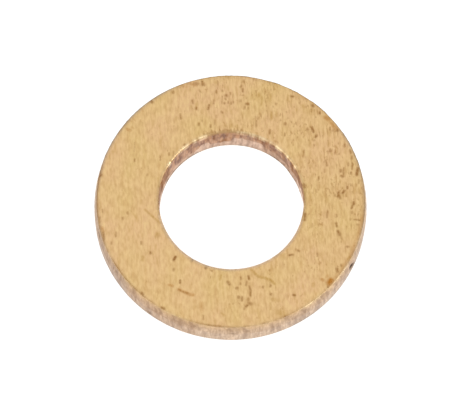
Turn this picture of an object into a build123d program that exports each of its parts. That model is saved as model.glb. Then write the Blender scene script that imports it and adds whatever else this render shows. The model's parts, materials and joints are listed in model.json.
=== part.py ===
from build123d import *
import os

# Flat washer for an M6 screw, plain series: bore 6.4, outside 12, thickness 1.6 (millimetres).
#
# The real thing is one piece, stamped from rolled brass strip in two strokes of a compound die:
# the bore is pierced from the top face downwards, and the disc is blanked from the bottom face
# upwards. Each stroke leaves the same three bands on the wall that it cuts: a rolled-over entry
# edge, a smooth burnished land at the true size, and a torn, tapered break at the far edge.
#
# Frame: +Z is the bore axis. The origin is the centre of the bottom face, so the washer rests
# on z = 0, and the top face is at z = thickness.

# Overall sizes
outside_diameter = 12.0
bore_diameter = 6.4
thickness = 1.6

# Bore, pierced from the top face
bore_rollover = 0.12
bore_break_height = 0.65
bore_break_flare = 0.03

# Rim, blanked from the bottom face
rim_rollover = 0.22
rim_break_height = 0.65
rim_break_taper = 0.10

outside_radius = outside_diameter / 2
bore_radius = bore_diameter / 2

with BuildPart() as washer:
    # Half section from the bore to the rim: sketch X is the radius, sketch Y is the height
    with BuildSketch(Plane.XZ):
        with BuildLine():
            Polyline(
                (bore_radius + bore_break_flare, 0),
                (outside_radius, 0),
                (outside_radius, thickness - rim_break_height),
                (outside_radius - rim_break_taper, thickness),
                (bore_radius, thickness),
                (bore_radius, bore_break_height),
                close=True,
            )
        make_face()
        # Entry edges: the bore's at the top and innermost, the rim's at the bottom and outermost
        bore_entry = vertices().group_by(Axis.Y)[-1].sort_by(Axis.X)[0]
        fillet(bore_entry, bore_rollover)
        rim_entry = vertices().group_by(Axis.Y)[0].sort_by(Axis.X)[-1]
        fillet(rim_entry, rim_rollover)
    # The section is turned once round the bore axis
    revolve(axis=Axis.Z)

washer.part.label = "washer"

os.makedirs("parts", exist_ok=True)
export_step(washer.part, "parts/washer.step")
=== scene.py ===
import json
import math

import bpy
import numpy as np
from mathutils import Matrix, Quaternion, Vector


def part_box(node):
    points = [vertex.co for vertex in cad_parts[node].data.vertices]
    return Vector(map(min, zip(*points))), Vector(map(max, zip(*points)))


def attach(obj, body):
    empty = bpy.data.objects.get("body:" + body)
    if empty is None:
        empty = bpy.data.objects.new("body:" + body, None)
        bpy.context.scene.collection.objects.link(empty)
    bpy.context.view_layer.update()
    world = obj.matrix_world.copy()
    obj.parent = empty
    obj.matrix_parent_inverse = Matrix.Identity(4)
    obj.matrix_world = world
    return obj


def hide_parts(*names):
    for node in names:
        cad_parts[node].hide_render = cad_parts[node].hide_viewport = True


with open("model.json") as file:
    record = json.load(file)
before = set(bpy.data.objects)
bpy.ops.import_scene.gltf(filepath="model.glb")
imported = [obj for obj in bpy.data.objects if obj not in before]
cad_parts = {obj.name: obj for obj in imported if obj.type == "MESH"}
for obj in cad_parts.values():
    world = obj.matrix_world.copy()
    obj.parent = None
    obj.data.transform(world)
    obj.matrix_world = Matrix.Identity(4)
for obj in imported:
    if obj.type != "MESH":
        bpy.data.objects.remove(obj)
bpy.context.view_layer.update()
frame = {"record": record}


# ---- The washer ---------------------------------------------------------------------------
# One ring of rolled brass strip, stamped in a press: the bore is pierced from above, and the
# disc is blanked from below. Nothing is machined after that, so its faces keep the mill's
# rolling grain, and each wall keeps a rolled-over edge, a smooth land and a torn break.

MM = 0.001

# Sizes in millimetres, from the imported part
washer_low, washer_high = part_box("washer")
bore_mount = next(m for m in frame["record"]["mounts"] if m["name"] == "bore")
thickness = (washer_high[2] - washer_low[2]) / MM
rim_radius = (washer_high[0] - washer_low[0]) / 2 / MM
bore_radius = bore_mount["dims"]["r_mm"]
bore_land_middle = bore_mount["pos_m"][2] / MM
bore_land_length = bore_mount["dims"]["length_mm"]
bore_land_low = bore_land_middle - bore_land_length / 2
bore_land_high = bore_land_middle + bore_land_length / 2
bore_rollover = thickness - bore_land_high

# The part's own sizes that its frame doesn't give
bore_break_flare = 0.03
rim_rollover = 0.22
rim_break_height = 0.65
rim_break_taper = 0.10

# Where the lands and edges come
rim_edge_radius = rim_radius - rim_break_taper
rim_land_high = thickness - rim_break_height
bore_edge_radius = bore_radius + bore_rollover

# Rings of the mesh along each band, and steps round the bore axis
TOP_RINGS = 62
RIM_BREAK_RINGS = 15
RIM_LAND_RINGS = 11
RIM_ROLLOVER_RINGS = 6
BOTTOM_RINGS = 11
BORE_BREAK_RINGS = 11
BORE_LAND_RINGS = 11
BORE_ROLLOVER_RINGS = 5
STEPS = 750


def band(start, end, rings):
    """Points spaced evenly from start up to, but not onto, end: the next band starts there.
    Each is start times what is left of the way, plus end times the share gone."""
    share = np.arange(rings)[:, None] / rings
    return np.array(start) * (1 - share) + np.array(end) * share


def quarter_round(centre, radius, from_angle, to_angle, rings):
    """Points on a circle's arc about centre, from one angle up to, but not onto, the other:
    the centre plus the radius times the angle's cosine and sine."""
    angle = np.radians(from_angle + (to_angle - from_angle) * np.arange(rings) / rings)
    return np.array(centre) + radius * np.stack([np.cos(angle), np.sin(angle)], axis=-1)


# The half section, as (radius, height), outwards over the top, down the rim and back up the bore
section = np.concatenate([
    band((bore_edge_radius, thickness), (rim_edge_radius, thickness), TOP_RINGS),
    band((rim_edge_radius, thickness), (rim_radius, rim_land_high), RIM_BREAK_RINGS),
    band((rim_radius, rim_land_high), (rim_radius, rim_rollover), RIM_LAND_RINGS),
    quarter_round((rim_radius - rim_rollover, rim_rollover), rim_rollover, 0, -90,
                  RIM_ROLLOVER_RINGS),
    band((rim_radius - rim_rollover, 0), (bore_radius + bore_break_flare, 0), BOTTOM_RINGS),
    band((bore_radius + bore_break_flare, 0), (bore_radius, bore_land_low), BORE_BREAK_RINGS),
    band((bore_radius, bore_land_low), (bore_radius, bore_land_high), BORE_LAND_RINGS),
    quarter_round((bore_edge_radius, bore_land_high), bore_rollover, 180, 90,
                  BORE_ROLLOVER_RINGS),
])

# Each ring's outward direction is square to the line between the rings before and after it
along_section = np.roll(section, -1, axis=0) - np.roll(section, 1, axis=0)
along_section /= np.linalg.norm(along_section, axis=1, keepdims=True)
outward = np.stack([-along_section[:, 1], along_section[:, 0]], axis=-1)

# The grid: one row to a ring, one column to a step. A wall's own coordinates are the height and
# the length round it, and a face's are x and y.
turn = 2 * np.pi * np.arange(STEPS)[None, :] / STEPS
radius = section[:, :1]
height = section[:, 1:]
flatness = outward[:, 1:]
x = radius * np.cos(turn)
y = radius * np.sin(turn)

# How much of each place is face or wall: the two blend where the section tilts between them
FACE_FROM = 0.2
FACE_BLEND = 0.6
on_top = np.clip((flatness - FACE_FROM) / FACE_BLEND, 0, 1)
on_bottom = np.clip((-flatness - FACE_FROM) / FACE_BLEND, 0, 1)
on_wall = 1 - on_top - on_bottom
on_rim = on_wall * (outward[:, :1] > 0)
on_bore = on_wall * (outward[:, :1] < 0)


def smooth_noise(u, v, columns, rows, seed):
    """Random heights from -1 to 1 on a lattice of unit cells, blended between the four nearest
    with an S-shaped weight. The lattice repeats, so whole columns close up round a circle."""
    heights = np.random.default_rng(seed).uniform(-1, 1, (rows, columns))
    u, v = np.broadcast_arrays(u, v)
    i, j = np.floor(u).astype(int), np.floor(v).astype(int)
    a, b = u - i, v - j
    a, b = a * a * (3 - 2 * a), b * b * (3 - 2 * b)

    def at(right, up):
        """The heights at the lattice points so many cells right of each place's own, and up."""
        return heights[(j + up) % rows, (i + right) % columns]

    near = at(0, 0) * (1 - a) + at(1, 0) * a
    far = at(0, 1) * (1 - a) + at(1, 1) * a
    return near * (1 - b) + far * b


FACE_CELLS = 512
WALL_ROWS = 64


def face_noise(across_cell, along_cell, seed, lean=0.0):
    """Noise over a flat face: x and y are turned by lean degrees, then divided by the width and
    the length of a cell."""
    c, s = math.cos(math.radians(lean)), math.sin(math.radians(lean))
    across = (x * c + y * s) / across_cell
    along = (y * c - x * s) / along_cell
    return smooth_noise(across, along, FACE_CELLS, FACE_CELLS, seed)


def wall_noise(round_cell, height_cell, seed, slant=0.0):
    """Noise over a wall in cells about round_cell long at the rim and height_cell tall: the turn
    is cut into whole cells, and moved sideways by slant times the height."""
    columns = round(2 * np.pi * rim_radius / round_cell)
    across = turn / (2 * np.pi) * columns + slant * height / round_cell
    return smooth_noise(across, height / height_cell, columns, WALL_ROWS, seed)


def round_noise(round_cell, seed):
    """Noise that changes only with the angle, in cells about round_cell long at the rim."""
    columns = round(2 * np.pi * rim_radius / round_cell)
    return smooth_noise(turn / (2 * np.pi) * columns, np.zeros((1, 1)), columns, 1, seed)


def ease(value, low, high):
    """0 below low and 1 above high. Between them it is three times the square of the share of
    the way less twice its cube, an S-shaped rise."""
    share = np.clip((value - low) / (high - low), 0, 1)
    return share * share * (3 - 2 * share)


def bell(distance, width):
    """1 at no distance, falling as e to the minus square of the distance over the width."""
    return np.exp(-(distance / width) ** 2)


def arcs(*spans, soft=3.0):
    """1 inside each span of angles and 0 outside, with an ease over soft degrees beyond each
    end. Angles are in degrees, anticlockwise from the x axis seen from above."""
    angle = np.degrees(turn)
    inside = np.zeros(turn.shape)
    for start, end in spans:
        rise, fall = ease(angle, start - soft, start), ease(angle, end, end + soft)
        inside = np.maximum(inside, rise * (1 - fall))
    return inside


# The metal tore unevenly below each land, so the line between land and break wanders. Here and
# below, a noise is given its cell's sizes in millimetres, then its seed.
RIM_WANDER = 0.08
RIM_FRAY = 0.07
BORE_WANDER = 0.17
BORE_SWAY = 0.06
BORE_FRAY = 0.08
rim_tear = rim_land_high + RIM_WANDER * round_noise(1.7, 11) + RIM_FRAY * round_noise(0.5, 12)
bore_tear = bore_land_low + BORE_WANDER * round_noise(2.4, 13) * (1 - arcs((20, 165)))
bore_tear = bore_tear + BORE_SWAY * round_noise(0.9, 14) + BORE_FRAY * round_noise(0.3, 15)

# Where the back of the bore tore high or low: from and to, in degrees, and how far up
tear_steps = [(67, 89, 0.28), (100, 108, -0.12), (110, 117, 0.20), (119, 160, -0.20)]
for start, end, step_up in tear_steps:
    bore_tear = bore_tear + step_up * arcs((start, end))

# The land steps down to the break over a narrow lip, with a line along it inside the bore
TEAR_LIP = 0.03
TEAR_LINE_WIDTH = 0.05
rim_torn = on_rim * ease(height, rim_tear - TEAR_LIP, rim_tear + TEAR_LIP)
bore_torn = on_bore * (1 - ease(height, bore_tear - TEAR_LIP, bore_tear + TEAR_LIP))
torn = rim_torn + bore_torn
tear_line = on_bore * bell(height - bore_tear, TEAR_LINE_WIDTH)
tear_line = tear_line * ease(round_noise(0.5, 16), -0.5, 0.6)

# Relief, outwards from the section, in millimetres: on the faces, the strip's slight waves, and
# its rolling lines, which lean a few degrees from the y axis
GRAIN_LEAN = 5.9
WAVE_HEIGHT = 0.0035
LINE_HEIGHT = 0.0010
FINE_LINE_HEIGHT = 0.0006
relief = WAVE_HEIGHT * face_noise(1.9, 2.4, 21)
relief = relief + LINE_HEIGHT * face_noise(0.10, 1.3, 22, GRAIN_LEAN)
relief = relief + FINE_LINE_HEIGHT * face_noise(0.06, 0.5, 23, GRAIN_LEAN)
relief = relief * (on_top + on_bottom)

# The punch ran a hair off centre and out of true, so the bore sits over to the right, its foot
# most of all, and it left a low tongue of metal there. The shift fades away across both faces.
PUNCH_OFFSET = 0.022
PUNCH_DRIFT = 0.050
BORE_TIGHTNESS = 0.020
TONGUE = 0.034
TONGUE_HEIGHT = 0.8
SHIFT_REACH = 1.2
near_bore = 1 - ease(radius, bore_edge_radius, bore_edge_radius + SHIFT_REACH)
drift = PUNCH_DRIFT * (1 - height / thickness)
shift = (PUNCH_OFFSET + drift) * np.cos(turn) - BORE_TIGHTNESS
tongue = TONGUE * arcs((18, 34), soft=12.0) * (1 - ease(height, 0.0, TONGUE_HEIGHT))
shift = (shift - tongue) * near_bore

# The walls are scored up and down by the press tools, and the breaks are torn rougher, in
# ridges and craters. A gap is a low place between two of them, with painted shade in it.
SCORE_DEPTH = 0.006
RIDGE_HEIGHT = 0.016
CRATER_DEPTH = 0.010
scores = 0.6 * wall_noise(0.11, 0.70, 31, 0.1) + 0.4 * wall_noise(0.30, 1.1, 32, -0.1)
ridges = 0.6 * scores + 0.3 * wall_noise(0.14, 0.60, 41, 0.2)
ridges = ridges + 0.2 * wall_noise(0.09, 0.16, 43)
craters = ease(wall_noise(0.20, 0.30, 44, 0.3) + 0.5 * wall_noise(0.10, 0.14, 45), 0.45, 1.05)
smooth_wall = on_wall - torn
relief = relief + smooth_wall * SCORE_DEPTH * scores
relief = relief + torn * (RIDGE_HEIGHT * ridges - CRATER_DEPTH * craters)
gap_shade = smooth_wall * ease(-scores, -0.1, 0.5) + torn * ease(0.5 * craters - ridges, -0.1, 0.55)
gap_shade = np.clip(gap_shade, 0, 1)

# The rim's upper edge was cut last, and stands up in a fine uneven burr with a hollow behind it
BURR_HEIGHT = 0.020
BURR_WIDTH = 0.03
HOLLOW_DEPTH = 0.010
HOLLOW_WIDTH = 0.035
HOLLOW_INSET = 0.06
edge_rise = on_top * bell(radius - rim_edge_radius, BURR_WIDTH)
edge_hollow = on_top * bell(radius - (rim_edge_radius - HOLLOW_INSET), HOLLOW_WIDTH)
burr = ease(round_noise(0.5, 51) + 0.5 * round_noise(0.12, 52), -0.4, 1.1)
relief = relief + BURR_HEIGHT * edge_rise * burr - HOLLOW_DEPTH * edge_hollow

# The two upper edges are not quite round either
RAGGED_RIM = 0.009
RAGGED_BORE = 0.006
RAGGED_WIDTH = 0.05
ragged = round_noise(0.35, 53) + 0.7 * round_noise(0.12, 54)
at_rim_edge = on_rim * bell(height - thickness, RAGGED_WIDTH)
at_bore_edge = bell(radius - bore_edge_radius, RAGGED_WIDTH) * (height > bore_land_low)
relief = relief + RAGGED_RIM * ragged * at_rim_edge - RAGGED_BORE * (ragged + 1) * at_bore_edge

# Marks of handling on the top face, listed one by one. A pit is x, y, length, width, lean from
# the y axis in degrees, and darkness; a scratch is its points, its width and its darkness.
brown_pits = [
    (0.27, 5.41, 0.16, 0.08, -35, 0.7), (0.35, 5.22, 0.20, 0.08, 5, 0.8),
    (0.38, 5.65, 0.15, 0.07, 10, 0.5), (0.25, 4.72, 0.10, 0.10, 0, 0.5),
    (0.57, 4.58, 0.16, 0.11, 80, 0.9), (0.45, 4.38, 0.17, 0.07, -15, 0.6),
    (0.62, 4.38, 0.14, 0.07, 5, 0.6), (2.55, 5.02, 0.16, 0.09, 75, 0.9),
    (2.28, 3.70, 0.12, 0.10, 0, 0.8), (3.50, 3.48, 0.32, 0.08, 17, 1.0),
    (3.66, 3.16, 0.18, 0.08, -40, 0.9), (3.28, 3.48, 0.14, 0.09, 85, 0.5),
    (4.27, 3.55, 0.18, 0.06, 0, 0.7), (4.43, 3.48, 0.12, 0.10, 0, 0.6),
    (4.60, 3.48, 0.13, 0.10, 0, 1.0), (3.80, 4.28, 0.14, 0.08, 0, 0.9),
    (3.48, 4.61, 0.14, 0.12, 60, 1.0), (4.94, 2.78, 0.16, 0.08, 0, 0.8),
    (4.30, 2.52, 0.19, 0.08, 0, 0.8), (4.52, 2.45, 0.26, 0.05, 0, 0.5),
    (5.20, 2.50, 0.22, 0.08, 20, 0.8), (5.27, 2.22, 0.18, 0.08, 0, 0.7),
    (4.15, 1.92, 0.32, 0.06, 12, 0.7), (5.12, 1.90, 0.22, 0.06, 0, 0.6),
    (5.29, 1.80, 0.34, 0.06, -3, 0.7), (4.78, 1.57, 0.15, 0.10, 0, 0.8),
    (4.92, 1.55, 0.38, 0.05, 0, 0.7), (4.86, 1.32, 0.18, 0.09, 75, 0.9),
    (5.24, 1.48, 0.14, 0.06, 0, 0.9), (5.52, 1.55, 0.36, 0.11, -8, 1.0),
    (4.08, 1.55, 0.20, 0.05, 0, 0.5), (3.83, 1.18, 0.20, 0.06, 0, 0.8),
    (3.15, 2.42, 0.14, 0.06, 0, 0.6), (5.60, 1.10, 0.22, 0.07, 0, 0.6),
    (5.10, 0.80, 0.16, 0.07, 0, 0.9), (5.25, 0.92, 0.12, 0.06, 0, 0.6),
    (4.93, 0.58, 0.19, 0.09, -30, 1.0), (4.72, 0.46, 0.28, 0.09, 0, 1.0),
    (4.79, 0.32, 0.18, 0.07, 10, 0.8), (4.57, 0.40, 0.14, 0.06, 0, 0.5),
    (5.40, 0.06, 0.19, 0.08, 0, 1.0), (3.20, 0.80, 0.24, 0.09, 15, 0.9),
    (2.28, 3.20, 0.18, 0.06, 0, 0.6), (1.62, 3.30, 0.24, 0.07, -5, 0.7),
    (1.00, 3.68, 0.32, 0.06, 0, 0.6), (-0.38, 4.94, 0.13, 0.12, 0, 0.9),
    (-0.55, 5.16, 0.11, 0.07, 0, 0.7), (-0.20, 5.05, 0.15, 0.05, 10, 0.7),
    (-0.82, 5.10, 0.15, 0.07, 0, 0.7), (-0.40, 4.78, 0.12, 0.07, 20, 0.7),
    (-0.44, 4.57, 0.12, 0.07, 0, 0.7), (-0.28, 4.62, 0.14, 0.06, 0, 0.7),
    (-0.14, 4.58, 0.14, 0.06, 0, 0.8), (-0.06, 4.64, 0.12, 0.06, 0, 0.7),
    (-0.92, 4.62, 0.22, 0.05, 0, 0.7), (-1.14, 4.36, 0.28, 0.07, -10, 1.0),
    (-1.68, 4.28, 0.15, 0.07, 0, 0.9), (-1.86, 4.58, 0.22, 0.06, 12, 0.7),
    (-2.36, 3.86, 0.30, 0.06, 8, 0.7), (-1.46, 5.48, 0.26, 0.08, 8, 1.0),
    (-1.36, 5.44, 0.18, 0.05, 12, 0.7), (-1.54, 5.10, 0.18, 0.06, 30, 0.6),
    (-1.72, 5.46, 0.28, 0.12, 80, 0.6), (-2.74, 5.00, 0.15, 0.10, 0, 0.7),
    (-3.66, 4.50, 0.14, 0.10, 40, 0.9), (-1.54, 3.54, 0.15, 0.08, 0, 0.8),
    (-1.40, 3.70, 0.12, 0.06, 0, 0.5), (-1.02, 3.48, 0.16, 0.07, 0, 0.8),
    (-0.84, 3.66, 0.22, 0.05, 0, 0.6), (-0.54, 4.14, 0.14, 0.08, 50, 0.6),
    (-0.78, 3.94, 0.14, 0.08, 0, 0.5), (-4.30, 1.70, 0.16, 0.06, 0, 0.8),
    (-3.20, 1.86, 0.24, 0.05, 0, 0.7), (-2.82, 2.08, 0.16, 0.06, 0, 0.7),
    (-2.63, 2.10, 0.28, 0.06, 0, 0.6), (-2.14, 2.54, 0.10, 0.09, 0, 0.9),
    (-5.76, 0.94, 0.14, 0.10, 0, 1.0), (-3.74, 1.04, 0.12, 0.06, 0, 0.5),
    (0.57, -3.62, 0.16, 0.07, 10, 0.7), (0.91, -3.58, 0.22, 0.08, 15, 0.9),
    (0.82, -3.86, 0.24, 0.08, -10, 0.6), (0.56, -3.88, 0.12, 0.07, 0, 0.7),
    (0.40, -4.08, 0.15, 0.08, -60, 0.7), (0.50, -4.49, 0.14, 0.09, 0, 0.9),
    (0.65, -4.56, 0.24, 0.08, 0, 0.9), (0.93, -4.58, 0.16, 0.08, 0, 0.6),
    (1.00, -4.76, 0.20, 0.13, 70, 0.7), (0.86, -4.88, 0.18, 0.08, -40, 0.9),
    (0.78, -5.00, 0.12, 0.07, -30, 0.6), (0.04, -3.87, 0.22, 0.11, 35, 0.8),
    (1.54, -3.98, 0.11, 0.08, 0, 0.7), (1.87, -3.92, 0.14, 0.08, -20, 0.7),
    (1.90, -4.30, 0.13, 0.09, -20, 0.7), (2.91, -4.30, 0.15, 0.08, 75, 0.9),
    (4.38, -3.86, 0.11, 0.08, 0, 0.8), (4.76, -3.07, 0.22, 0.09, 15, 0.9),
    (4.92, -2.84, 0.14, 0.08, 0, 0.7), (5.17, -1.97, 0.12, 0.09, 80, 0.7),
    (3.87, -2.40, 0.18, 0.06, 0, 0.8), (3.03, -2.24, 0.15, 0.09, 50, 0.7),
    (2.72, -2.45, 0.22, 0.07, -75, 0.9), (3.27, -0.66, 0.38, 0.09, 0, 1.0),
    (4.25, -0.50, 0.36, 0.07, -5, 0.7), (4.66, -0.55, 0.16, 0.06, 0, 0.6),
    (4.67, -0.96, 0.24, 0.07, 12, 1.0), (4.78, -1.34, 0.28, 0.10, 25, 1.0),
    (5.56, -0.70, 0.30, 0.06, 85, 0.8), (5.60, -0.92, 0.16, 0.06, 85, 0.5),
    (5.33, -0.12, 0.18, 0.08, -20, 0.9), (5.34, -0.36, 0.12, 0.06, 0, 0.6),
    (3.60, -1.05, 0.20, 0.06, 0, 0.4), (-2.37, -2.83, 0.24, 0.10, -25, 1.15),
    (-2.38, -3.34, 0.14, 0.10, 0, 0.6), (-2.07, -3.88, 0.19, 0.08, 0, 0.9),
    (-3.42, -2.60, 0.14, 0.08, 0, 0.8), (-5.60, -0.74, 0.22, 0.06, 8, 0.6),
    (-4.50, -0.78, 0.13, 0.08, 0, 0.6), (-4.70, -1.05, 0.15, 0.08, 0, 0.6),
    (-1.00, -3.24, 0.12, 0.08, 60, 0.6), (-0.74, -3.34, 0.13, 0.06, 60, 0.6),
    (-3.70, -4.50, 0.16, 0.11, 45, 1.0), (-2.78, -5.12, 0.20, 0.09, 70, 1.0),
    (-0.42, -5.86, 0.22, 0.09, 85, 0.7), (-5.50, -1.90, 0.40, 0.08, 8, 0.8),
    (-5.72, -1.15, 0.30, 0.10, 5, 0.6), (-5.34, -2.55, 0.26, 0.10, 25, 0.7),
    (-4.96, -1.80, 0.26, 0.06, 0, 0.5), (-5.14, -2.22, 0.14, 0.08, 0, 0.5),
    (-3.84, -2.16, 0.18, 0.07, 0, 0.6), (-1.00, -5.48, 0.24, 0.05, 0, 0.6),
]
olive_pits = [
    (-3.16, -1.76, 0.24, 0.18, 0, 0.7), (-3.74, -2.88, 0.26, 0.12, 0, 0.6),
    (-0.32, -3.64, 0.26, 0.07, -12, 0.8), (2.40, -5.15, 0.50, 0.24, 80, 0.45),
    (2.12, -4.56, 0.40, 0.14, 85, 0.5), (3.72, -3.80, 0.22, 0.12, 0, 0.6),
    (1.38, -5.20, 0.46, 0.06, 8, 0.5), (1.90, -4.85, 0.36, 0.06, 5, 0.5),
    (-3.25, 0.70, 0.50, 0.08, 8, 0.5), (3.22, 0.40, 0.50, 0.10, -3, 0.5),
    (1.20, 4.75, 0.45, 0.05, 0, 0.7), (1.60, 4.95, 0.35, 0.05, 0, 0.6),
    (1.07, 5.05, 0.22, 0.05, 0, 0.8), (2.36, 4.95, 0.32, 0.05, 0, 0.5),
    (1.66, 4.10, 0.34, 0.09, 5, 0.6), (1.86, 4.15, 0.30, 0.08, 0, 0.5),
    (2.76, 4.37, 0.22, 0.05, 10, 0.6), (-0.14, -5.30, 0.24, 0.09, 55, 0.5),
    (-3.95, -0.25, 0.22, 0.10, 0, 0.4), (5.24, -2.50, 0.24, 0.09, -25, 0.7),
    (-2.90, -1.55, 0.30, 0.12, 30, 0.5), (2.35, -2.55, 0.30, 0.20, 20, 0.4),
    (0.15, 3.50, 0.16, 0.06, -20, 0.6), (-0.10, 3.52, 0.22, 0.07, -20, 0.6),
]
amber_pits = [
    (4.46, -3.62, 0.34, 0.21, -35, 1.45), (4.12, -3.54, 0.17, 0.11, 60, 0.9),
    (4.32, -3.38, 0.18, 0.09, -20, 0.6), (4.12, 4.03, 0.30, 0.16, 60, 0.9),
    (4.36, 3.76, 0.32, 0.12, 42, 0.8), (4.48, 3.62, 0.24, 0.14, 42, 0.8),
    (-1.88, 5.40, 0.34, 0.10, 75, 0.6), (-2.26, 5.30, 0.30, 0.08, 70, 0.4),
    (-4.60, 3.60, 0.24, 0.07, 42, 0.5), (-4.68, 3.14, 0.20, 0.05, 38, 0.7),
    (-4.56, 3.12, 0.16, 0.05, 38, 0.6), (-4.46, 3.24, 0.16, 0.05, 38, 0.5),
    (-4.40, 3.62, 0.18, 0.05, 38, 0.5), (-4.08, 4.10, 0.20, 0.06, 20, 0.5),
    (-1.10, -5.00, 0.50, 0.15, 3, 0.35), (-5.56, -1.60, 0.26, 0.10, 8, 0.6),
    (3.12, -0.98, 0.20, 0.08, -15, 0.5), (5.70, -1.00, 0.40, 0.08, -8, 0.4),
]
brown_scratches = [
    ([(0.95, -3.98), (1.00, -4.15), (1.01, -4.40)], 0.07, 0.8),
    ([(4.78, -1.34), (4.86, -1.48), (4.93, -1.66)], 0.05, 0.5),
    ([(-0.78, 5.62), (-0.77, 5.35), (-0.81, 5.12)], 0.04, 0.6),
    ([(-0.56, 4.92), (-0.55, 4.55)], 0.04, 0.6),
    ([(-4.34, 2.55), (-4.34, 2.10)], 0.04, 0.5),
    ([(-2.12, -4.24), (-1.86, -4.36), (-1.68, -4.40)], 0.06, 0.4),
]
olive_scratches = [
    ([(1.02, -3.20), (1.16, -3.38), (1.36, -3.53), (1.62, -3.57), (1.86, -3.64), (2.04, -3.82)],
     0.10, 0.8),
    ([(-3.78, -0.60), (-3.52, -0.84), (-3.30, -1.04), (-3.08, -1.22)], 0.07, 0.8),
    ([(-4.42, -0.64), (-4.24, -0.84), (-4.10, -1.02)], 0.05, 0.5),
]
amber_scratches = [
    ([(-2.56, -4.05), (-2.38, -4.08)], 0.08, 0.7),
    ([(-2.12, -4.24), (-1.86, -4.36), (-1.60, -4.46), (-1.47, -4.47)], 0.11, 0.8),
]

STROKE_SHARE = 0.66
SHORTEST_PIT = 0.02


def stroke(points, width):
    """1 on the line through the points, falling as e to the minus cube of the distance to the
    nearest stretch of it, over two thirds of the width."""
    nearest = np.full(x.shape, np.inf)
    for (x0, y0), (x1, y1) in zip(points, points[1:]):
        run = math.hypot(x1 - x0, y1 - y0)
        share = ((x - x0) * (x1 - x0) + (y - y0) * (y1 - y0)) / run ** 2
        share = np.clip(share, 0, 1)
        away = np.hypot(x - x0 - share * (x1 - x0), y - y0 - share * (y1 - y0))
        nearest = np.minimum(nearest, away)
    return np.exp(-(nearest / (STROKE_SHARE * width)) ** 3)


def marks(pits, scratches):
    """The strongest mark at each point of the top face: its darkness times its stroke. A pit is
    a short straight stroke."""
    strongest = np.zeros(x.shape)
    for pit_x, pit_y, length, width, lean, darkness in pits:
        reach = max(length - width, SHORTEST_PIT) / 2
        dx = reach * math.sin(math.radians(lean))
        dy = reach * math.cos(math.radians(lean))
        line = [(pit_x - dx, pit_y + dy), (pit_x + dx, pit_y - dy)]
        strongest = np.maximum(strongest, darkness * stroke(line, width))
    for points, width, darkness in scratches:
        strongest = np.maximum(strongest, darkness * stroke(points, width))
    return strongest * on_top


brown_and_shade = marks(brown_pits, brown_scratches)
olive = marks(olive_pits, olive_scratches)
amber = marks(amber_pits, amber_scratches)

# Brown marks are pits in the metal, and the others are shallower
BROWN_DEPTH = 0.010
OLIVE_DEPTH = 0.004
AMBER_DEPTH = 0.005
relief = relief - BROWN_DEPTH * brown_and_shade - OLIVE_DEPTH * olive - AMBER_DEPTH * amber

# A brown line runs just behind the rim's burr, most of all on the left and in front, with rust
# inside it on the right
RIM_LINE_INSET = 0.03
RIM_LINE_WIDTH = 0.042
RIM_LINE_DEPTH = 0.01
RUST_INSET = 0.10
RUST_WIDTH = 0.08
rim_line = (on_top + on_rim) * bell(radius - (rim_edge_radius - RIM_LINE_INSET), RIM_LINE_WIDTH)
rim_line = rim_line * (height > thickness - RIM_LINE_DEPTH)
rim_line_breaks = ease(round_noise(0.9, 61) + 0.6 * round_noise(0.25, 62), -0.9, 0.6)
rim_line_weight = 0.45 + 0.55 * arcs((150, 246), (262, 303))
brown_and_shade = np.maximum(brown_and_shade, 0.75 * rim_line * rim_line_breaks * rim_line_weight)
rusty_line = on_top * bell(radius - (rim_edge_radius - RUST_INSET), RUST_WIDTH)
rusty_line = rusty_line * arcs((323, 354))
amber = np.maximum(amber, 0.45 * rusty_line)

# The left of the rim's wall is painted a little browner than the rest, as shade
brown_and_shade = np.maximum(brown_and_shade, 0.20 * on_rim * arcs((184, 256)))

# Brown teeth bite into the face beyond the bore, where the punch dragged its edge down, and the
# tear line is brown too
TOOTH_REACH = 0.02
TOOTH_BITE = 0.12
TOOTH_SWAY = 0.06
TOOTH_SOFTNESS = 0.03
tooth = TOOTH_REACH + TOOTH_BITE * round_noise(0.13, 63) + TOOTH_SWAY * round_noise(0.5, 64)
past_edge = radius - bore_edge_radius
teeth = on_top * (1 - ease(past_edge, tooth - TOOTH_SOFTNESS, tooth + TOOTH_SOFTNESS))
brown_and_shade = np.maximum(brown_and_shade, 0.60 * teeth * arcs((84, 113)))
brown_and_shade = np.maximum(brown_and_shade, 0.35 * tear_line)

# Inside the bore both bands are painted browner at the sides, as shade where less light reaches
# them, and the land is painted dark under its upper edge at the back, as the shadow under it
UNDER_EDGE_DROP = 0.12
UNDER_EDGE_WIDTH = 0.22
bore_land = on_bore - bore_torn
under_edge = on_bore * bell(height - (bore_land_high - UNDER_EDGE_DROP), UNDER_EDGE_WIDTH)
under_edge = under_edge * ease(scores, -0.6, 0.2)
land_sides = 0.85 * arcs((0, 34), (152, 166)) + 0.25 * arcs((34, 70)) + 0.65 * arcs((167, 182))
break_sides = 0.44 * arcs((28, 64)) + 0.30 * arcs((124, 156))
bore_shade_and_blots = 0.6 * under_edge * arcs((62, 112)) + bore_land * land_sides + bore_torn * break_sides

# Blots lie over that, fainter at the back left of the land, and on the right and at the back of
# the break
bore_blots = ease(wall_noise(0.50, 0.60, 65, 0.3) + 0.6 * wall_noise(0.20, 0.35, 66), 0.0, 0.9)
land_blots = (0.75 - 0.50 * arcs((118, 148))) * bore_land * bore_blots
blotted_break = 0.45 * (1 - 0.8 * arcs((66, 132)) - 0.6 * arcs((4, 26))) * bore_torn
break_blots = blotted_break * ease(bore_blots, 0.3, 0.9)
bore_shade_and_blots = np.maximum(bore_shade_and_blots, np.maximum(land_blots, break_blots))
brown_and_shade = np.maximum(brown_and_shade, bore_shade_and_blots)
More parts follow.
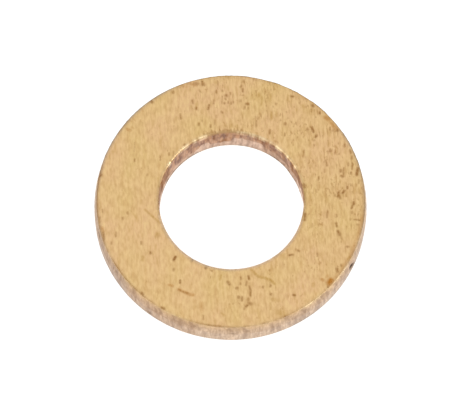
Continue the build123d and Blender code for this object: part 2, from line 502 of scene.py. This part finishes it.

# Both edges of the top face take a little painted grey shade, more so towards the back, though
# the rim's has none at the very back
RIM_GREY_INSET = 0.01
RIM_GREY_WIDTH = 0.075
RIM_GREY_DEPTH = 0.08
BORE_GREY_INSET = 0.06
BORE_GREY_WIDTH = 0.07
greyness = 0.75 + 0.5 * np.sin(turn)
shade_lifted = 1.2 * arcs((45, 110), soft=14.0) - 0.3 * arcs((138, 172), soft=8.0)
rim_grey = bell(radius - (rim_edge_radius - RIM_GREY_INSET), RIM_GREY_WIDTH)
rim_grey = rim_grey * (height > thickness - RIM_GREY_DEPTH)
bore_grey = bell(radius - (bore_radius + BORE_GREY_INSET), BORE_GREY_WIDTH)
bore_grey = bore_grey * (height > bore_land_high)
edge_shade = rim_grey * np.clip(greyness - shade_lifted, 0, 1.5) + 0.3 * greyness * bore_grey

# Painted grey shade also lies along the foot of each wall, where it meets the floor, and on the
# rim's wall at the left and the right
RIM_FOOT_FADE = 0.3
BORE_FOOT_HEIGHT = 0.17
rim_foot = on_rim * (1 - ease(height, rim_rollover, rim_rollover + RIM_FOOT_FADE))
bore_foot = on_bore * bell(height, BORE_FOOT_HEIGHT)
edge_shade = edge_shade + rim_foot * (1 - 0.7 * arcs((253, 296), soft=6.0))
edge_shade = edge_shade + bore_foot * (1.8 * arcs((20, 58), (120, 158)) + 0.7 * arcs((60, 118)))
edge_shade = edge_shade + on_rim * (0.7 * arcs((176, 222)) + 0.4 * arcs((339, 352)))
edge_shade = np.clip(edge_shade, 0, 2)

# Dents in the rim's wall and round the bore: angle in degrees, height, width, depth, darkness.
# The rim's first six run together into one slanting nick. The bore's fade out over its lip.
rim_dents = [
    (335.9, 0.52, 0.18, 0.03, 0.9), (335.4, 0.61, 0.22, 0.05, 1.3),
    (334.9, 0.70, 0.23, 0.06, 1.3), (334.4, 0.79, 0.23, 0.06, 1.3),
    (333.9, 0.88, 0.21, 0.05, 1.15), (333.4, 0.97, 0.18, 0.03, 0.9),
    (236, 0.45, 0.20, 0.03, 0.35), (215, 1.25, 0.16, 0.02, 0.25), (197, 1.20, 0.24, 0.03, 0.3),
    (322, 0.90, 0.18, 0.02, 0.3), (273, 1.00, 0.16, 0.02, 0.25),
]
bore_dents = [
    (241, 1.56, 0.09, 0.03, 0.4), (39, 0.12, 0.15, 0.04, 0.8), (84, 0.06, 0.10, 0.03, 0.4),
    (154, 0.14, 0.15, 0.04, 0.7), (145, 0.10, 0.10, 0.02, 0.4), (253, 1.58, 0.08, 0.02, 0.3),
    (45, 0.30, 0.12, 0.02, 0.35), (126, 0.55, 0.10, 0.02, 0.35), (177, 1.05, 0.16, 0.02, 0.45),
]
DENT_SHARE = 0.6
LIP_FROM = 0.04
LIP_TO = 0.12
by_the_bore = on_bore + on_top * (1 - ease(past_edge, LIP_FROM, LIP_TO))

# Near-black painted shade fills them, as the shadow in each hollow, and lies in patches along the
# bore's foot where it meets the floor
SHADED_FOOT_HEIGHT = 0.13
shaded_foot = on_bore * bell(height, SHADED_FOOT_HEIGHT) * ease(round_noise(0.4, 67), -0.7, 0.4)
deep_shade = 0.5 * shaded_foot * arcs((27, 72), (128, 156))
for where, dents in ((on_rim, rim_dents), (by_the_bore, bore_dents)):
    for angle, level, width, depth, darkness in dents:
        arc = (turn - math.radians(angle) + np.pi) % (2 * np.pi) - np.pi
        hollow = where * bell(np.hypot(arc * radius, height - level), DENT_SHARE * width)
        relief = relief - depth * hollow
        deep_shade = np.maximum(deep_shade, darkness * hollow)

# A painted highlight runs in dashes along the bore's upper edge, where its rounded lip catches
# light
GLINT_INSET = 0.045
GLINT_WIDTH = 0.055
GLINT_DROP = 0.10
dash = ease(round_noise(0.32, 71) + 0.9 * round_noise(0.12, 72), -0.9, 0.5)
long_dashes = arcs((112, 117), (125, 135), (141, 151), (48, 60), (65, 70), (74, 76), soft=1.5)
short_dashes = arcs((31, 32), (41, 42), (82, 84), (86, 87), (121, 122), soft=1.0)
dashes = 0.10 + 0.25 * arcs((30, 80), (110, 152)) + 0.8 * long_dashes + 0.6 * short_dashes
glint_band = bell(radius - (bore_radius + GLINT_INSET), GLINT_WIDTH)
glint_band = glint_band * (height > bore_land_high - GLINT_DROP)
painted_glint = np.clip(0.95 * glint_band * np.clip(dashes, 0, 1) * dash, 0, 1)

# The rim's burr takes a painted highlight in front, most of all in two stretches
BURR_GLINT_DEPTH = 0.14
burr_edge = edge_rise + 0.5 * on_rim * bell(height - thickness, BURR_GLINT_DEPTH)
burr_glint = burr_edge * (0.15 + 0.85 * burr) * (0.18 + 0.82 * arcs((230, 250), (303, 330)))
painted_glint = np.maximum(painted_glint, 0.85 * burr_glint * arcs((205, 345)))

# The top of the rim's wall keeps some of the face's yellower brass, dragged down over it
DRAG_DEPTH = 0.30
cut_rim = on_rim * (1 - 0.55 * bell(height - thickness, DRAG_DEPTH))

# The near lip of the bore is scraped to the cut metal's paler pink, and takes a painted highlight
# at half strength
SCRAPE_INSET = 0.04
SCRAPE_WIDTH = 0.07
near_lip = bell(radius - (bore_radius + SCRAPE_INSET), SCRAPE_WIDTH) * (height > bore_land_high)
near_lip = near_lip * arcs((196, 344))
cut_open = np.maximum(on_bore * (1 - near_lip), 0.9 * near_lip)
torn = np.maximum(torn, near_lip)
painted_glint = np.maximum(painted_glint, 0.5 * near_lip)

# The right and back of the top face were handled most, and are the most speckled
MOST_HANDLED = math.radians(30)
handled = on_top * (0.55 + 0.45 * np.cos(turn - MOST_HANDLED))

# The mesh, in metres: each ring is moved sideways by the shift and outwards by the relief
finished_radius = radius + shift + outward[:, :1] * relief
finished_height = height + outward[:, 1:] * relief
points = np.stack([finished_radius * np.cos(turn), finished_radius * np.sin(turn),
                   finished_height], axis=-1) * MM

# Each quad lies between two neighbouring rings and two neighbouring steps. The last ring joins
# the first, and so does the last step.
rings = len(section)
index = np.arange(rings * STEPS).reshape(rings, STEPS)
next_ring = np.roll(index, -1, axis=0)
quads = np.stack([index, next_ring, np.roll(next_ring, -1, axis=1), np.roll(index, -1, axis=1)],
                 axis=-1).reshape(-1, 4)
washer_mesh = bpy.data.meshes.new("brass_washer")
washer_mesh.from_pydata(points.reshape(-1, 3).tolist(), [], quads.tolist())
washer_mesh.polygons.foreach_set("use_smooth", np.ones(len(quads), dtype=bool))

# How strongly each shade of the finish shows is painted on the points, the painted highlights and
# shade among them
painted = {"brown_and_shade": brown_and_shade, "olive": olive, "amber": amber, "painted_glint": painted_glint, "edge_shade": edge_shade,
           "gap_shade": gap_shade, "torn": torn, "rim": cut_rim, "bore": cut_open, "handled": handled,
           "deep_shade": deep_shade}
for name, amount in painted.items():
    layer = washer_mesh.attributes.new(name, "FLOAT", "POINT")
    layer.data.foreach_set("value", np.broadcast_to(amount, x.shape).ravel().astype(np.float32))

# The flat map for the finish: the two faces lie side by side, and under them the walls are
# unrolled at the same scale round and twice the scale up, the rim as two half turns. The corners
# of a quad keep their own ring and step, so the last one closes without crossing the map.
FACE_SHARE = 0.49
FACE_SPARE = 0.1
MAP_SCALE = FACE_SHARE / (2 * rim_radius + FACE_SPARE)
MAP_MARGIN = 0.01
MAP_STRIP = 0.165
WALL_STRETCH = 2
FACE_SLOPE = 0.7
FACE_MIDDLE_U = 0.25
FACE_MIDDLE_V = 0.75
corner_ring = np.arange(rings)[:, None, None] + np.array([0, 1, 1, 0])
corner_step = np.arange(STEPS)[None, :, None] + np.array([0, 0, 1, 1])
segment = np.diff(section, axis=0, append=section[:1])
segment_length = np.linalg.norm(segment, axis=1)
along = np.concatenate([[0], np.cumsum(segment_length)])
rise = (segment[:, 0] / segment_length)[:, None, None]
is_top, is_bottom = rise > FACE_SLOPE, rise < -FACE_SLOPE
is_rim = ~is_top & ~is_bottom & (segment[:, 1] < 0)[:, None, None]
is_bore = ~is_top & ~is_bottom & ~is_rim
corner_turn = 2 * np.pi * corner_step / STEPS
corner_radius = section[corner_ring % rings, 0]
face_u = MAP_SCALE * corner_radius * np.cos(corner_turn)
face_v = FACE_MIDDLE_V + MAP_SCALE * corner_radius * np.sin(corner_turn)
second_half = (np.arange(STEPS) >= STEPS // 2)[None, :, None]
rim_u = MAP_MARGIN + MAP_SCALE * rim_radius * (corner_turn - np.pi * second_half)
bore_u = MAP_MARGIN + MAP_SCALE * bore_edge_radius * corner_turn
up_wall = WALL_STRETCH * MAP_SCALE * along[corner_ring]
rim_start = up_wall[np.nonzero(is_rim[:, 0, 0])[0][0], 0, 0]
bore_start = up_wall[np.nonzero(is_bore[:, 0, 0])[0][0], 0, 0]
rim_v = MAP_MARGIN + MAP_STRIP * second_half + up_wall - rim_start
bore_v = MAP_MARGIN + 2 * MAP_STRIP + up_wall - bore_start
islands = [is_top, is_bottom, is_rim, is_bore]
map_u = np.select(islands, [FACE_MIDDLE_U + face_u, 1 - FACE_MIDDLE_U - face_u, rim_u, bore_u])
map_v = np.select(islands, [face_v, face_v, rim_v, bore_v])
flat_map = washer_mesh.uv_layers.new(name="OFBake")
flat_map.uv.foreach_set("vector", np.stack([map_u, map_v], axis=-1).ravel().astype(np.float32))
washer_mesh.update()

washer = bpy.data.objects.new("brass_washer", washer_mesh)
bpy.context.scene.collection.objects.link(washer)

# The finish: bare metal all over, with duller, browner and brighter shades mixed into its colour,
# among them painted shade and painted highlights
SPECULAR = 0.1
BARE_METAL = 1.0
SHADED_METAL = 0.2
finish = bpy.data.materials.new("rolled_brass")
finish.use_nodes = True
nodes, links = finish.node_tree.nodes, finish.node_tree.links
brass = nodes["Principled BSDF"]
brass.inputs["Specular IOR Level"].default_value = SPECULAR
brass.inputs["Metallic"].default_value = BARE_METAL


def node(kind, settings=None, **inputs):
    """A node with its settings made. Each input is a plain value or another node's output, and
    is named as on the node with _ for a space, or i and a number for its place."""
    made = nodes.new("ShaderNode" + kind)
    for key, value in (settings or {}).items():
        setattr(made, key, value)
    for key, value in inputs.items():
        place = int(key[1:]) if key[1:].isdigit() else key.replace("_", " ")
        socket = made.inputs[place]
        if isinstance(value, bpy.types.NodeSocket):
            links.new(value, socket)
        else:
            socket.default_value = value
    return made


def sums(operation, *values):
    """Numbers or outputs put through one Math step: added, multiplied, or one less another."""
    made = node("Math", {"operation": operation},
                **{"i%d" % place: value for place, value in enumerate(values)})
    return made.outputs[0]


def layer_of(name):
    """How strongly a shade painted on the points shows at each place."""
    return node("Attribute", {"attribute_name": name}).outputs["Fac"]


def mix(amount, first, second):
    """The first colour times what amount leaves of 1, plus the second times amount."""
    made = node("Mix", {"data_type": "RGBA"}, Factor=amount)
    for socket, colour in ((made.inputs[6], first), (made.inputs[7], second)):
        if isinstance(colour, bpy.types.NodeSocket):
            links.new(colour, socket)
        else:
            socket.default_value = (*colour, 1)
    return made.outputs[2]


def noise(cell, seed, detail=2.0, lean=0.0):
    """Noise from 0 to 1: the place on the washer, less the seed's own step, is turned by lean
    degrees and divided by the cell's size in millimetres along each axis."""
    place = node("Mapping", {"vector_type": "TEXTURE"}, Vector=coordinates)
    place.inputs["Location"].default_value = SEED_STEP * seed
    place.inputs["Rotation"].default_value = (0, 0, math.radians(lean))
    place.inputs["Scale"].default_value = [size * MM for size in cell]
    return node("TexNoise", None, Vector=place.outputs[0], Scale=1.0,
                Detail=detail).outputs["Fac"]


def spread(value, low, high, out_low=0.0, out_high=1.0):
    """out_low where the value is low or less, out_high where it is high or more, and out_low
    plus the same share of the way between them elsewhere."""
    return node("MapRange", None, Value=value, i1=low, i2=high, i3=out_low,
                i4=out_high).outputs[0]


def part_of(share, value):
    """The share times the value."""
    return sums("MULTIPLY", share, value)


coordinates = node("TexCoord").outputs["Object"]
SEED_STEP = Vector((7.3, 3.1, 5.7)) * MM


# Colours of the rolled faces, then of the cut rim and bore, then of what lies on the metal and of
# the painted light and shade
mellow_brass = (0.728, 0.507, 0.222)
warm_brass = (0.756, 0.497, 0.258)
pale_brass = (0.83, 0.588, 0.290)
dull_brass = (0.63, 0.405, 0.175)
# The colour of the painted highlights
glint_brass = (1.0, 0.79, 0.48)

cut_brass = (0.55, 0.39, 0.26)
pale_cut = (0.76, 0.56, 0.39)
blotted_cut = (0.40, 0.26, 0.17)
rubbed_dark = (0.22, 0.085, 0.04)
rubbed_pale = (0.60, 0.335, 0.19)
rubbed_streak = (0.62, 0.37, 0.22)
torn_dark = (0.60, 0.405, 0.295)
torn_pale = (0.80, 0.575, 0.425)

brown_tarnish_and_shade = (0.31, 0.115, 0.010)
olive_tarnish = (0.45, 0.25, 0.045)
amber_tarnish = (0.42, 0.15, 0.005)
# Painted shade: grey along edges and feet, brown in gaps, near black in dents
shade_grey = (0.35, 0.29, 0.255)
gap_shade_brown = (0.26, 0.14, 0.08)
shade_black = (0.03, 0.012, 0.006)

# Faces: long rolling lines, a fine mottle along them, and clouds of warmer metal
grain = noise((0.13, 1.3, 1.3), 1, detail=3, lean=GRAIN_LEAN)
mottle = noise((0.105, 0.27, 0.27), 2, detail=2, lean=GRAIN_LEAN)
clouds = noise((1.5, 2.0, 2.0), 3, detail=3)
shade = sums("ADD", part_of(0.45, grain), part_of(0.55, mottle))
face_colour = mix(spread(clouds, 0.35, 0.65), mellow_brass, warm_brass)
face_colour = mix(spread(shade, 0.50, 0.66), face_colour, pale_brass)
face_colour = mix(spread(shade, 0.50, 0.34), face_colour, dull_brass)

# Fine dark hairlines run along the grain, thickest where the face was handled
hairs = noise((0.055, 0.50, 0.50), 11, detail=1, lean=GRAIN_LEAN)
hairs = part_of(spread(hairs, 0.60, 0.78), layer_of("handled"))
face_colour = mix(part_of(0.40, hairs), face_colour, brown_tarnish_and_shade)

# Specks and stains come in patches, thicker where the face was handled
patches = sums("ADD", part_of(0.4, noise((0.8, 0.9, 0.9), 5, detail=1)),
               part_of(0.18, layer_of("handled")))
specks = sums("ADD", noise((0.10, 0.18, 0.18), 4, detail=2, lean=GRAIN_LEAN), patches)
face_colour = mix(part_of(0.36, spread(specks, 0.97, 1.08)), face_colour, brown_tarnish_and_shade)
stains = sums("ADD", noise((0.28, 0.42, 0.42), 9, detail=3, lean=GRAIN_LEAN), patches)
face_colour = mix(part_of(0.18, spread(stains, 0.88, 1.08)), face_colour, olive_tarnish)

# The rim's cut metal is pinker than the faces, streaked up and down, with darker blots
streaks = noise((0.08, 0.08, 0.50), 6, detail=3)
blots = noise((0.16, 0.16, 0.22), 7, detail=2)
cut_colour = mix(spread(streaks, 0.40, 0.70), cut_brass, pale_cut)
cut_colour = mix(part_of(0.5, spread(blots, 0.50, 0.72)), cut_colour, blotted_cut)

# The bore's land is rubbed darker by the punch, and its break is torn open and paler
smears = noise((0.22, 0.22, 0.60), 10, detail=3)
rubbed_colour = mix(spread(smears, 0.40, 0.60), rubbed_dark, rubbed_pale)
rubbed_colour = mix(part_of(0.3, spread(streaks, 0.45, 0.65)), rubbed_colour, rubbed_streak)
torn_colour = mix(spread(smears, 0.40, 0.60), torn_dark, torn_pale)
bore_colour = mix(layer_of("torn"), rubbed_colour, torn_colour)

# Each stretch of the washer takes its own metal, with painted shade in the gaps and grey painted
# shade along the edges and feet over all of them
colour = mix(layer_of("rim"), face_colour, cut_colour)
colour = mix(layer_of("bore"), colour, bore_colour)
colour = mix(part_of(0.45, layer_of("gap_shade")), colour, gap_shade_brown)
colour = mix(part_of(0.4, layer_of("edge_shade")), colour, shade_grey)

# Each painted mark is mottled by the finest grain
finest = spread(noise((0.04, 0.07, 0.07), 8, detail=2), 0.3, 0.7, 0.55, 1.15)


def mottled(name, strength):
    """A painted shade times its strength, times the finest grain."""
    return part_of(strength, part_of(layer_of(name), finest))


# Tarnish, with painted shade in the brown, then painted highlights and near-black painted shade
colour = mix(mottled("olive", 0.75), colour, olive_tarnish)
colour = mix(mottled("amber", 0.70), colour, amber_tarnish)
colour = mix(mottled("brown_and_shade", 0.72), colour, brown_tarnish_and_shade)
colour = mix(mottled("painted_glint", 1.0), colour, glint_brass)
colour = mix(layer_of("deep_shade"), colour, shade_black)
links.new(colour, brass.inputs["Base Color"])

# Torn and tarnished metal, and metal under painted shade, is rougher than the rolled faces, and
# metal under the painted highlights is smoother
SMOOTHEST_FACE = 0.38
ROUGHEST_FACE = 0.50
roughness = spread(grain, 0.3, 0.7, SMOOTHEST_FACE, ROUGHEST_FACE)
roughness = sums("ADD", roughness, part_of(0.10, layer_of("torn")))
roughness = sums("ADD", roughness, part_of(0.2, layer_of("brown_and_shade")))
roughness = sums("ADD", roughness, part_of(0.3, layer_of("deep_shade")))
roughness = sums("SUBTRACT", roughness, part_of(0.12, layer_of("painted_glint")))
links.new(roughness, brass.inputs["Roughness"])

# Little of the metal shows under the thick near-black painted shade
metal = spread(layer_of("deep_shade"), 0.0, 0.8, BARE_METAL, SHADED_METAL)
links.new(metal, brass.inputs["Metallic"])

# The finest lines only tilt the light: rolling lines on the faces, streaks and blots on the walls
BUMP_STRENGTH = 0.5
BUMP_HEIGHT = 0.012 * MM
lines = sums("ADD", part_of(0.6, grain), part_of(0.4, mottle))
walls = sums("ADD", layer_of("rim"), layer_of("bore"))
wall_lines = sums("ADD", part_of(0.5, streaks), part_of(0.5, blots))
surface_height = node("Mix", {"data_type": "FLOAT"}, Factor=walls, i2=lines, i3=wall_lines)
bump = node("Bump", None, Strength=BUMP_STRENGTH, Distance=BUMP_HEIGHT,
            Height=surface_height.outputs[0])
links.new(bump.outputs[0], brass.inputs["Normal"])
washer_mesh.materials.append(finish)

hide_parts("washer")
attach(washer, "root")


# ---- The floor ----------------------------------------------------------------------------
# A plain white sheet under the washer, lit from within, so that it shows no shadow. It throws
# light up at the rim and into the bore, and lies a hair below the washer's lower face.

FLOOR_HALF = 3.0
FLOOR_DROP = 0.02 * MM
SHEET_GREY = 0.2
SHEET_ROUGHNESS = 0.9
SHEET_GLOW = 1.0
corners = [(-FLOOR_HALF, -FLOOR_HALF, -FLOOR_DROP), (FLOOR_HALF, -FLOOR_HALF, -FLOOR_DROP),
           (FLOOR_HALF, FLOOR_HALF, -FLOOR_DROP), (-FLOOR_HALF, FLOOR_HALF, -FLOOR_DROP)]
floor_mesh = bpy.data.meshes.new("floor")
floor_mesh.from_pydata(corners, [], [(0, 1, 2, 3)])
floor = bpy.data.objects.new("floor", floor_mesh)
bpy.context.scene.collection.objects.link(floor)
sheet = bpy.data.materials.new("lit_sheet")
sheet.use_nodes = True
sheet_shader = sheet.node_tree.nodes["Principled BSDF"]
sheet_shader.inputs["Base Color"].default_value = (SHEET_GREY, SHEET_GREY, SHEET_GREY, 1)
sheet_shader.inputs["Roughness"].default_value = SHEET_ROUGHNESS
sheet_shader.inputs["Specular IOR Level"].default_value = 0.0
sheet_shader.inputs["Emission Color"].default_value = (1, 1, 1, 1)
sheet_shader.inputs["Emission Strength"].default_value = SHEET_GLOW
floor_mesh.materials.append(sheet)


# ---- The light ----------------------------------------------------------------------------
# A white tent, whose roof is a little dimmer than its walls, gives even light from all round. In
# it hang five square soft boxes: one overhead, one at each side and one at each front corner.

TENT_WALL = 1.0
TENT_ROOF = 0.68
ROOF_STARTS = math.radians(8)
ROOF_WHOLE = math.radians(22)
world = bpy.data.worlds.new("tent")
world.use_nodes = True
bpy.context.scene.world = world
tent_nodes, tent_links = world.node_tree.nodes, world.node_tree.links
direction = tent_nodes.new("ShaderNodeTexCoord")
upward = tent_nodes.new("ShaderNodeSeparateXYZ")
fade = tent_nodes.new("ShaderNodeMapRange")
fade.interpolation_type = "SMOOTHSTEP"
fade.inputs["From Min"].default_value = math.sin(ROOF_STARTS)
fade.inputs["From Max"].default_value = math.sin(ROOF_WHOLE)
fade.inputs["To Min"].default_value = TENT_WALL
fade.inputs["To Max"].default_value = TENT_ROOF
tent_links.new(direction.outputs["Generated"], upward.inputs[0])
tent_links.new(upward.outputs["Z"], fade.inputs["Value"])
tent_links.new(fade.outputs[0], tent_nodes["Background"].inputs["Strength"])
tent_nodes["Background"].inputs["Color"].default_value = (1, 1, 1, 1)


def soft_box(name, place, size, watts):
    """A square area light of that size at place, both in metres, turned so that its face is
    square to the line to the foot of the bore's axis."""
    lamp = bpy.data.lights.new(name, "AREA")
    lamp.shape = "SQUARE"
    lamp.size = size
    lamp.energy = watts
    box = bpy.data.objects.new(name, lamp)
    box.location = place
    box.rotation_mode = "QUATERNION"
    box.rotation_quaternion = (-Vector(place)).to_track_quat("-Z", "Y")
    bpy.context.scene.collection.objects.link(box)


soft_box("overhead_box", place=(0.0, 0.12, 0.45), size=0.35, watts=0.205)
soft_box("right_box", place=(0.50, -0.14, 0.14), size=0.16, watts=0.37)
soft_box("left_box", place=(-0.50, -0.14, 0.14), size=0.16, watts=0.26)
soft_box("right_front_box", place=(0.36, -0.24, 0.42), size=0.18, watts=0.38)
soft_box("left_front_box", place=(-0.36, -0.24, 0.42), size=0.18, watts=0.32)


# ---- The camera ---------------------------------------------------------------------------
# It looks down steeply on the washer from in front, through a long lens 16 cm away, and is
# rolled a little.

CAMERA_DISTANCE = 0.160
CAMERA_ELEVATION = math.radians(69.66)
CAMERA_ROLL = math.radians(2.17)
CAMERA_LENS = 282.0
SENSOR_WIDTH = 36.0
NEAREST_SEEN = 0.001
FARTHEST_SEEN = 20.0
AIM_HEIGHT = 0.653 * MM
towards_camera = Vector((0, -math.cos(CAMERA_ELEVATION), math.sin(CAMERA_ELEVATION)))
lens = bpy.data.cameras.new("camera")
lens.sensor_width = SENSOR_WIDTH
lens.lens = CAMERA_LENS
lens.clip_start = NEAREST_SEEN
lens.clip_end = FARTHEST_SEEN
camera = bpy.data.objects.new("camera", lens)
camera.location = towards_camera * CAMERA_DISTANCE
aim = Vector((0, 0, AIM_HEIGHT)) - camera.location
camera.rotation_mode = "QUATERNION"
camera.rotation_quaternion = (aim.to_track_quat("-Z", "Y")
                              @ Quaternion((0, 0, 1), CAMERA_ROLL))
bpy.context.scene.collection.objects.link(camera)
bpy.context.scene.camera = camera
bpy.context.scene.view_settings.view_transform = "Standard"
